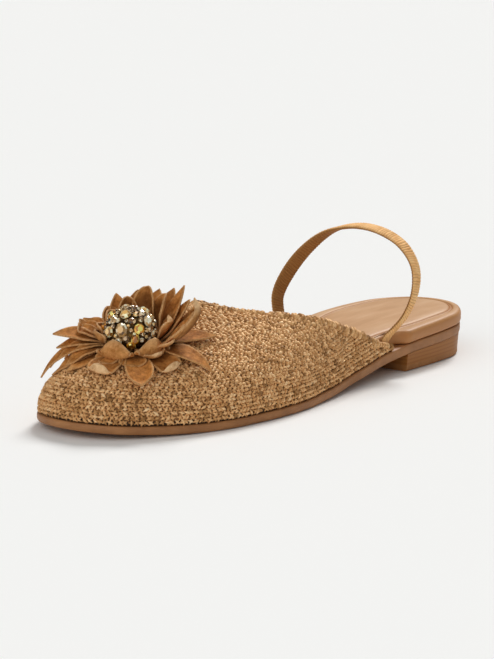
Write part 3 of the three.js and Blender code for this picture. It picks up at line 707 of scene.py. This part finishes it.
band_line, band_run = curve_through(BAND_PATH, BAND_STEPS)
along = unit(np.gradient(band_line, axis=0))
share = band_run / band_run[-1]
lean = np.column_stack((
    through(BAND_LEAN, 1)(share), np.full_like(share, 0.97), through(BAND_LEAN, 2)(share),
))
across = unit(lean - along * np.sum(along * lean, axis=1, keepdims=True))
outward = np.cross(along, across)
folds = np.cumsum(chance.uniform(0.85, 1.5, FOLDS))
phase = np.interp(band_run, np.concatenate(([0], folds)), np.arange(FOLDS + 1))
depth_of_fold = np.interp(band_run, folds[::2], chance.uniform(0.5, 1.1, FOLDS // 2))
round_band = np.linspace(0, 2 * np.pi, BAND_SIDES, endpoint=False)
section, fold_shade = [], []
for turn in round_band:
    w = np.sign(math.cos(turn)) * abs(math.cos(turn)) ** 0.55
    d = np.sign(math.sin(turn)) * abs(math.sin(turn)) ** 0.7
    slip = 0.3 * np.sin(band_run * 0.21 + 1.4 * w) * w
    fold = np.abs(np.sin(np.pi * (phase + slip))) ** 0.7 - FOLD_MIDDLE
    wide = w * (BAND_WIDTH / 2 - 0.2 + FOLD_FLARE * fold * depth_of_fold)
    deep = d * (BAND_DEPTH / 2 + 0.05 + FOLD_DEPTH * fold * depth_of_fold)
    # Painted shade down in each fold.
    fold_shade.append(np.clip(-fold / FOLD_MIDDLE, 0, 1) * depth_of_fold)
    section.append(band_line + across * wide[:, None] + outward * deep[:, None])
section = np.array(section)
start_cap = np.repeat(section[:, :1].mean(axis=0, keepdims=True), BAND_SIDES, axis=0)
end_cap = np.repeat(section[:, -1:].mean(axis=0, keepdims=True), BAND_SIDES, axis=0)
band = np.concatenate((start_cap, section, end_cap), axis=1)
# Painted shade: the face inside the loop is marked to be browner, as it faces away from the light.
facing_in = np.sin(round_band) > 0
inner = np.repeat(facing_in[None, :].astype(float), band.shape[1], axis=0)
fold_shade = np.pad(np.array(fold_shade), ((0, 0), (1, 1)), mode="edge").T
strap = drawn("ruched_strap", band.transpose(1, 0, 2), closed=True, inner=inner, crease=fold_shade)

# Metallic nappa over elastic: golden tan with patches about 4 mm across and satin, with painted shade:
# darker down in the folds, and browner on the face inside the loop.
nappa, tree, shader, place = material("gathered_metallic_nappa")
mottle = add(tree, "ShaderNodeTexNoise", {"Vector": place, "Scale": 260, "Detail": 4})
tint = add(tree, "ShaderNodeValToRGB", {"Fac": mottle.outputs["Fac"]},
           stops=((0.3, "#ebb271"), (0.7, "#fccf92")))
# Painted shade on the face inside the loop.
inside = add(tree, "ShaderNodeAttribute", {}, attribute_name="inner")
tint = add(tree, "ShaderNodeMix",
           {0: inside.outputs["Fac"], 6: tint.outputs["Color"], 7: srgb("#aa7a47")},
           data_type="RGBA")
# Painted shade in the folds.
crease = add(tree, "ShaderNodeAttribute", {}, attribute_name="crease")
shade = add(tree, "ShaderNodeMath", {0: crease.outputs["Fac"], 1: 0.75}, operation="MULTIPLY")
tint = add(tree, "ShaderNodeMix", {0: shade.outputs[0], 6: tint.outputs[2], 7: srgb("#7a4a1e")},
           data_type="RGBA")
grain = add(tree, "ShaderNodeTexNoise", {"Vector": place, "Scale": 1300, "Detail": 3})
bump = add(tree, "ShaderNodeBump",
           {"Height": grain.outputs["Fac"], "Strength": 0.35, "Distance": 0.0003})
fill(tree, shader, {
    "Base Color": tint.outputs[2], "Normal": bump.outputs["Normal"], "Metallic": 0.12,
    "Roughness": 0.62, "Specular IOR Level": 0.08,
})
strap.data.materials.append(nappa)
finished(strap, "slingback_strap", "slingback_strap")

# Flower: three die-cut rosettes of thin waxed leather, stacked and damped to shape. The lowest lies over
# the vamp, the next stands half open and the last makes a cup round the jewels. Cut edges stay raw and
# are paler, partly the undyed fibre and partly painted highlight, and some tips have curled over to show
# the paler flesh side.
FLOWER_X, FLOWER_Y = -2.0, -86.0
FACE = math.radians(36)
FACE_TILT = math.tan(math.radians(14))
LEATHER = 0.7
CURL_ALONG = 0.22
OFF_VAMP, OFF_VAMP_BY_LEVEL = 0.6, 0.4
# Strength of the pale edge and tip, partly raw fibre and partly painted highlight, and of the painted
# shade at the root.
EDGE_PALE, TIP_PALE, ROOT_SHADE = 0.65, 0.9, 0.7
# Each rosette: hub radius, level and how far its petals roll to the front. Then, for each petal: turn
# from the toe, the tip's distance out and height, width, slope at the hub, how pointed it is, how far
# its sides are cupped, the curl of its tip and, if it bellies, how far.
ROSETTES = (
    ("petals_lower", 11.5, 0.0, 0.3, (
        (12, 31, 23, 14, -20, 0.1, 0.6, 120), (50, 30, 20.4, 13.5, -26, 0, 0.95, 20),
        (84, 28.6, 22.8, 13, -22, 0.1, 0.6, 110), (111, 36, 23.4, 11.5, 0, 0.9, 0.35, -6),
        (142, 36, 34, 12, 10, 0.8, 0.35, 8), (170, 35, 39, 12, 12, 0.8, 0.35, 5),
        (-160, 35, 38.4, 12, 12, 0.8, 0.35, 10), (-128, 34, 31, 12, 6, 0.8, 0.35, 6),
        (-98, 31, 24, 10, 4, 0.85, 0.45, 4), (-79, 32, 23, 9.5, 4, 0.9, 0.5, 0),
        (-63, 34.6, 21, 9.5, 4, 0.9, 0.5, 0), (-49, 37.4, 18.8, 10.5, 2, 0.95, 0.5, -4),
        (-35, 33, 18.4, 10, -10, 0.9, 0.6, 4), (-19, 28.6, 18.6, 10, -20, 0.6, 0.7, 40),
    )),
    ("petals_upper", 12.2, 0.6, 0.3, (
        (6, 21, 27, 11.5, -38, 0.2, 0.75, 45), (44, 20, 26, 12.5, -40, 0.1, 0.6, 20),
        (77, 21, 31.6, 12, -30, 0.3, 0.95, 45), (97, 22, 36, 10, 18, 0.4, 0.85, 35),
        (111, 24, 42, 10.5, 22, 0.5, 0.8, 20), (120, 27, 47, 9.5, 22, 0.6, 0.8, 10),
        (126, 31, 52.6, 15, 10, 0.45, 1.25, 50), (139, 24.6, 50.6, 10.5, 42, 0.7, 0.7, 0),
        (152, 23.7, 55.6, 11.5, 50, 0.85, 0.65, 0), (172, 24, 53, 12, 48, 0.75, 0.6, 5),
        (-168, 24, 52, 11.5, 46, 0.8, 0.6, -10), (-146, 23, 51, 11, 48, 0.7, 0.6, 10),
        (-120, 19, 50.6, 10.5, 55, 0.8, 0.7, 0), (-105, 18, 45.6, 10.5, 52, 0.3, 0.9, 10),
        (-90, 27, 38.4, 9.5, 26, 0.5, 0.85, 45), (-78, 26.6, 37.6, 9, 24, 0.5, 0.85, 75),
        (-67, 26, 36.6, 9, 26, 0.4, 0.85, 100), (-57, 32.6, 36, 11.5, 14, 0.75, 0.65, 0),
        (-50, 30.6, 30.4, 9.5, 8, 0.8, 0.65, 10), (-42, 30.4, 26.6, 9.5, 4, 0.85, 0.6, 0),
        (-29, 27.6, 24.4, 9.5, 2, 0.7, 0.7, 25),
    )),
    ("petals_cup", 10.6, 1.2, 0.0, (
        (13, 14.8, 37.2, 19.5, -40, 0.2, 0.9, 0, 1.5), (80, 15.4, 37.8, 20, -40, 0.25, 0.9, 0, 1.5),
        (-38, 15.6, 39, 14, 30, 0.35, 0.85, 15),
        (126, 19, 45, 13.5, 46, 0.4, 0.95, 75), (158, 16, 52.6, 12.5, 64, 0.25, 1.25, -8),
        (-170, 13.6, 54.8, 13.4, 74, 0.15, 1.25, -10), (-132, 12, 50.4, 11, 80, 0.2, 1.25, -8),
        (-98, 14, 45, 12.5, 66, 0.25, 1.2, 0), (-66, 15, 40.4, 13, 58, 0.45, 0.9, 20),
    )),
)

# Waxed leather, grain side: warm brown in patches about 3 mm across, with lengthwise creases and a soft
# gloss, with painted shade at the root and paler at the cut edge, partly raw fibre and partly painted
# highlight. The flesh side is the same hide, lighter and matt.
hides = []
for name, dark, light, edge, gloss in (
    ("flesh_side_of_petal_leather", "#b0733a", "#eaab68", "#fcd6a4", 0.62),
    ("waxed_grain_petal_leather", "#a0612a", "#ea9f55", "#f4c180", 0.5),
):
    hide, tree, shader, place = material(name)
    # Pale at the cut edge and tips: partly raw fibre, partly painted highlight.
    pale = add(tree, "ShaderNodeAttribute", {}, attribute_name="pale")
    mottle = add(tree, "ShaderNodeTexNoise",
                 {"Vector": place, "Scale": 330, "Detail": 6, "Roughness": 0.68})
    brown = add(tree, "ShaderNodeValToRGB", {"Fac": mottle.outputs["Fac"]},
                stops=((0.34, dark), (0.64, light)))
    worn = add(tree, "ShaderNodeMapRange",
               {"Value": mottle.outputs["Fac"], "From Min": 0.2, "From Max": 0.6})
    uneven = add(tree, "ShaderNodeMath", {0: pale.outputs["Fac"], 1: worn.outputs[0]},
                 operation="MULTIPLY")
    # Painted shade at the root and in the hollow of deep cups, with a random tone for each petal.
    deep = add(tree, "ShaderNodeAttribute", {}, attribute_name="deep")
    root_shade = add(tree, "ShaderNodeMix",
                    {0: deep.outputs["Fac"], 6: brown.outputs["Color"], 7: srgb("#4a240c")},
                    data_type="RGBA")
    tint = add(tree, "ShaderNodeMix", {0: uneven.outputs[0], 6: root_shade.outputs[2], 7: srgb(edge)},
               data_type="RGBA")
    sheet_place = add(tree, "ShaderNodeUVMap", {})
    crease_place = add(tree, "ShaderNodeMapping",
                       {"Vector": sheet_place.outputs["UV"], "Scale": (14, 2, 1)})
    crease = add(tree, "ShaderNodeTexNoise",
                 {"Vector": crease_place.outputs["Vector"], "Scale": 2, "Detail": 4})
    bump = add(tree, "ShaderNodeBump",
               {"Height": crease.outputs["Fac"], "Strength": 0.6, "Distance": 0.0008})
    fill(tree, shader, {
        "Base Color": tint.outputs[2], "Normal": bump.outputs["Normal"], "Roughness": gloss,
        "Specular IOR Level": 0.06,
    })
    hides.append(hide)

# Raw cut edge: pale undyed fibre, matt, drawn coarse at 0.7 mm to show.
raw, tree, shader, place = material("raw_cut_leather_edge")
fibre = add(tree, "ShaderNodeTexNoise", {"Vector": place, "Scale": 1500, "Detail": 2})
tint = add(tree, "ShaderNodeValToRGB", {"Fac": fibre.outputs["Fac"]},
           stops=((0.3, "#ac7740"), (0.7, "#d9a468")))
fill(tree, shader, {"Base Color": tint.outputs["Color"], "Roughness": 0.75})
hides.append(raw)


def flower_slope(x, y):
    """Height of the flower's tilted face over its middle."""
    return FACE_TILT * ((y - FLOWER_Y) * math.cos(FACE) - (x - FLOWER_X) * math.sin(FACE))


turns = np.linspace(0, 2 * np.pi, 48, endpoint=False)
radii = np.array((0, 6, 13))[:, None]
hub_x = FLOWER_X + radii * np.sin(turns)
hub_y = FLOWER_Y - radii * np.cos(turns)
flower_seat = float(np.max(skin_height(hub_x, hub_y) - flower_slope(hub_x, hub_y))) + 0.8


def petal(name, hub, level, roll, turn, far, high, width, slope, point, cup, curl, knee=0.55):
    """One petal as a thin sheet with raw edges, from under the hub out to its tip."""
    turn, slope = math.radians(turn), math.radians(slope)
    ways = math.sin(turn), -math.cos(turn)
    root = flower_seat + level + float(flower_slope(FLOWER_X + hub * ways[0], FLOWER_Y + hub * ways[1]))
    end = np.array((far - hub, high - root))
    length = np.linalg.norm(end)
    fine = np.linspace(0, 1, 97)[:, None]
    bent = 0.66 if curl > 60 else 0.72
    knee = knee * length * np.array((math.cos(slope), math.sin(slope)))
    step = np.diff(2 * fine * (1 - fine) * knee + fine ** 2 * end, axis=0)
    lean = np.arctan2(step[:, 1], step[:, 0])
    lean = lean + math.radians(curl) * ease(fine[1:, 0], bent, bent + CURL_ALONG)
    size = np.linalg.norm(step, axis=1)
    run_out = np.concatenate(([0], np.cumsum(size * np.cos(lean))))
    run_up = np.concatenate(([0], np.cumsum(size * np.sin(lean))))
    a = np.linspace(-0.3, 1, 31)[:, None]
    side = np.linspace(-1, 1, 17)[None, :]
    inside = np.clip(a, 0, 1)
    radius = hub + np.where(a < 0, a * min(length, hub), np.interp(inside, fine[:, 0], run_out))
    lift = np.interp(inside, fine[:, 0], run_up)
    lean = np.interp(inside, fine[1:, 0], lean)
    belly = np.sin(np.pi * (0.15 + 0.6 * inside)) ** 0.9
    taper = np.clip(1 - inside ** (6 - 4 * point), 0, 1) ** (0.5 + 0.45 * point)
    half = width / 2 * belly * taper
    bow = cup * np.clip(1.8 * (a + 0.1), 0.001, 1)
    aside = half * np.sin(bow * side) / bow
    bend = half * (1 - np.cos(bow * side)) / bow
    reach = radius - np.sin(lean) * bend
    x = FLOWER_X + ways[0] * reach + math.cos(turn) * aside
    y = FLOWER_Y + ways[1] * reach + math.sin(turn) * aside
    flat = flower_seat + level + flower_slope(FLOWER_X + ways[0] * radius, FLOWER_Y + ways[1] * radius)
    z = np.where(a < 0, flat, root + lift) + np.cos(lean) * bend
    z = z - roll * aside * math.sin(FACE - turn) * ease(a, 0, 0.4)
    z = np.maximum(z, skin_height(x, y) + OFF_VAMP + OFF_VAMP_BY_LEVEL * level)
    edge = np.minimum(half * (1 - np.abs(side)), (1 - inside) * length)
    # Paler at the cut edge and at the tips, partly raw fibre and partly painted highlight.
    pale_tip = TIP_PALE * ease(inside, bent + 0.06, bent + 0.2) * np.clip(0.2 + curl / 80, 0, 1)
    pale = np.maximum(EDGE_PALE * np.exp(-edge / 0.35), pale_tip)
    # Painted shade at the root and in the hollow of deep cups, then a random tone for each petal.
    deep = ROOT_SHADE * (1 - ease(inside + 0 * side, 0, 0.6))
    if cup > 1:
        deep = np.maximum(deep, 0.6 * (1 - side ** 2) * (1 - ease(inside, 0.7, 1)))
    deep = np.clip(deep + chance.uniform(0, 0.24), 0, 1)
    sheet = drawn(name, np.stack((x, y, z), axis=-1), pale=np.clip(pale, 0, 1), deep=deep)
    for leather in hides:
        sheet.data.materials.append(leather)
    skin_of = sheet.modifiers.new("leather", "SOLIDIFY")
    skin_of.thickness = LEATHER * MM
    skin_of.offset = 0
    skin_of.material_offset = 1
    skin_of.material_offset_rim = 2
    bpy.ops.object.modifier_apply(modifier="leather")
    return sheet


def joined(pieces, name):
    bpy.ops.object.select_all(action="DESELECT")
    for piece in pieces:
        piece.select_set(True)
    bpy.context.view_layer.objects.active = pieces[0]
    bpy.ops.object.join()
    pieces[0].name = name
    return pieces[0]


for node, hub, level, roll, petals in ROSETTES:
    sheets = []
    for k, row in enumerate(petals):
        sheets.append(petal(f"{node}_{k}", hub, level + 0.25 * (k % 2), roll, *row))
    finished(joined(sheets, f"{node}_leather"), "petals", node)

# Jewels: a blackened brass dome set close with cut glass in amber, champagne, smoke and clear, with many
# small stones between the large ones. It is riveted through the middle of the flower.
SETTING_RADIUS, SETTING_HEIGHT, SETTING_RIM = 10.8, 10.2, 0.8
CLUSTER_LIFT = 4.0
SMALL_STONES = 150
SMALL_GLASS = (0, 0, 0, 2, 3)
GOLDEN_ANGLE = 137.508
STONE_LIFT, STONE_CLEAR = 0.4, 0.4
STONE_RADIUS = 11
# Large stones: angle from the top, turn from the toe, half width, half length, spin and glass.
LARGE_STONES = (
    (21, 12, 2.3, 2.3, 0, 2), (49, 101, 2.7, 1.9, 40, 0), (60, 19, 2.6, 3.1, 10, 0),
    (72, -14, 2.4, 2.4, 0, 2), (59, 64, 2.3, 2.3, 0, 1), (81, 51, 2.4, 1.7, 70, 1),
    (86, 14, 1.7, 1.5, 0, 0), (81, 101, 1.7, 1.5, 0, 0), (26, 116, 1.8, 1.6, 30, 0),
    (45, -19, 1.6, 1.6, 0, 0), (38, 47, 1.7, 1.5, 0, 3), (95, 42, 2.0, 1.7, 0, 1),
    (66, 95, 1.7, 1.5, 20, 3), (95, -23, 1.5, 1.3, 0, 1), (78, 30, 1.6, 1.4, 0, 3),
    (38, 160, 2.3, 2.0, 20, 2), (40, 235, 2.5, 2.0, 50, 0), (44, 300, 2.2, 2.2, 0, 1),
    (72, 170, 2.2, 2.2, 0, 1), (74, 215, 2.4, 1.8, 30, 2), (74, 262, 2.2, 2.2, 0, 0),
    (76, 305, 2.3, 1.8, 60, 1),
)
facing = Vector((FACE_TILT * math.sin(FACE), -FACE_TILT * math.cos(FACE), 1)).normalized()
seat = Matrix.Translation(Vector((FLOWER_X, FLOWER_Y, flower_seat + CLUSTER_LIFT)))
seat = seat @ Vector((0, 0, 1)).rotation_difference(facing).to_matrix().to_4x4()

rings = [(0.0, 0.0), (SETTING_RADIUS, 0.0), (SETTING_RADIUS, SETTING_RIM)]
rings += [(SETTING_RADIUS * math.cos(t), SETTING_RIM + SETTING_HEIGHT * math.sin(t))
          for t in np.linspace(0.15, math.pi / 2, 12)]
spin = np.linspace(0, 2 * np.pi, 48, endpoint=False)
dome = np.array([[(r * math.cos(t), r * math.sin(t), h) for t in spin] for r, h in rings])
dome = dome @ np.array(seat.to_3x3()).T + np.array(seat.translation)
setting = drawn("jewel_setting", dome, closed=True)

# Blackened brass: near-black between the stones and dull gold in rubbed patches about 2 mm across.
gilt, tree, shader, place = material("blackened_cast_brass")
wear = add(tree, "ShaderNodeTexNoise", {"Vector": place, "Scale": 500, "Detail": 3})
tint = add(tree, "ShaderNodeValToRGB", {"Fac": wear.outputs["Fac"]},
           stops=((0.4, "#2a1c0c"), (0.75, "#8a642c")))
fill(tree, shader, {"Base Color": tint.outputs["Color"], "Metallic": 0.8, "Roughness": 0.4})
setting.data.materials.append(gilt)
finished(setting, "jewels", "jewel_cluster")

# The stone: a round cut with nine sides, its crown and its point drawn up and down from the girdle.
CUT_STEPS = ((0.2, 0.8, 0.3), (0.5, 0.62, 0.18), (0.0, 0.5, -0.5), (-0.5, 0.04, -0.4))
bpy.ops.object.select_all(action="DESELECT")
bpy.ops.mesh.primitive_cylinder_add(vertices=9, radius=1, depth=0.2, location=(0, 0, 0.1))
cut = bpy.context.object
cut.name = "cut_stone"
bpy.ops.object.transform_apply(location=True, rotation=True, scale=True)
bpy.ops.object.mode_set(mode="EDIT")
bpy.ops.mesh.select_mode(type="FACE")
for height, grow, rise_by in CUT_STEPS:
    bpy.ops.mesh.select_all(action="DESELECT")
    bpy.ops.object.mode_set(mode="OBJECT")
    for face in cut.data.polygons:
        face.select = abs(face.center.z - height) < 0.01 and abs(face.normal.z) > 0.9
    bpy.ops.object.mode_set(mode="EDIT")
    bpy.ops.mesh.extrude_region_move(TRANSFORM_OT_translate={"value": (0, 0, rise_by)})
    bpy.ops.transform.resize(value=(grow, grow, 1))
bpy.ops.object.mode_set(mode="OBJECT")
centres = [tuple(face.center) for face in cut.data.polygons]
by_height = [tuple(round(c, 3) for c in reversed(centre)) for centre in centres]
facet_order = sorted(range(len(centres)), key=lambda k: by_height[k])

# Cut glass, foiled behind, with painted reflections: each facet is given its own brightness, so
# neighbours go from dark to a painted white flash. Clear, amber, champagne and smoky.
glass = []
for name, deep, body, bright in (
    ("clear", "#5c3c18", "#dcae6c", "#ffffe4"), ("amber", "#6c3c07", "#f49c1c", "#fff78a"),
    ("champagne", "#885b21", "#ffc66d", "#ffffd1"), ("smoky", "#33200e", "#95683a", "#fbdcae"),
):
    made, tree, shader, place = material(f"cut_{name}_glass")
    # Painted reflection: a brightness for each facet.
    facet = add(tree, "ShaderNodeAttribute", {}, attribute_name="facet")
    tint = add(tree, "ShaderNodeValToRGB", {"Fac": facet.outputs["Fac"]},
               stops=((0.05, deep), (0.95, bright), (0.5, body)))
    fill(tree, shader, {
        "Base Color": tint.outputs["Color"], "Metallic": 0.2, "Roughness": 0.08, "IOR": 1.6,
        "Coat Weight": 0.35, "Coat Roughness": 0.03,
    })
    glass.append(made)


def set_stone(from_top, turn, wide, long, spin, finish):
    """A copy of the cut stone set on the dome, with a painted reflection brightness for each facet."""
    stone = cut.copy()
    stone.data = cut.data.copy()
    bpy.context.collection.objects.link(stone)
    lean, turn = math.radians(from_top), math.radians(turn)
    out = SETTING_RADIUS * math.sin(lean)
    up = SETTING_RIM + STONE_LIFT + SETTING_HEIGHT * math.cos(lean)
    stand = Matrix.Translation((math.sin(turn) * out, -math.cos(turn) * out, up))
    stand = stand @ Matrix.Rotation(turn, 4, "Z") @ Matrix.Rotation(lean, 4, "X")
    stand = stand @ Matrix.Rotation(math.radians(spin), 4, "Z")
    stand = stand @ Matrix.Diagonal((wide, long, 0.9 * (wide + long) / 2 + 0.2, 1))
    stone.data.transform(Matrix.Scale(MM, 4) @ seat @ stand)
    facet = stone.data.attributes.new("facet", "FLOAT", "FACE")
    painted_flash = np.empty(len(facet.data), dtype=np.float32)
    painted_flash[facet_order] = chance.beta(0.8, 0.9, len(facet.data))
    facet.data.foreach_set("value", painted_flash)
    stone.data.materials.clear()
    stone.data.materials.append(glass[finish])
    return stone


def direction(from_top, turn):
    lean, turn = math.radians(from_top), math.radians(turn)
    return np.array((math.sin(lean) * math.sin(turn), -math.sin(lean) * math.cos(turn), math.cos(lean)))


stones = [set_stone(*row) for row in LARGE_STONES]
for k in range(SMALL_STONES):
    from_top = math.degrees(math.acos(1 - 1.02 * (k + 0.5) / SMALL_STONES))
    turn = GOLDEN_ANGLE * k
    size = chance.uniform(0.75, 1.15)
    here = direction(from_top, turn)
    is_free = True
    for large_from_top, large_turn, wide, long, _, _ in LARGE_STONES:
        apart = STONE_RADIUS * np.linalg.norm(here - direction(large_from_top, large_turn))
        is_free = is_free and apart > 0.95 * (wide + long) / 2 + STONE_CLEAR
    if is_free:
        turned = chance.uniform(0, 90)
        stones.append(set_stone(from_top, turn, size, size, turned, chance.choice(SMALL_GLASS)))
bpy.data.objects.remove(cut)
finished(joined(stones, "cut_stones"), "jewels")
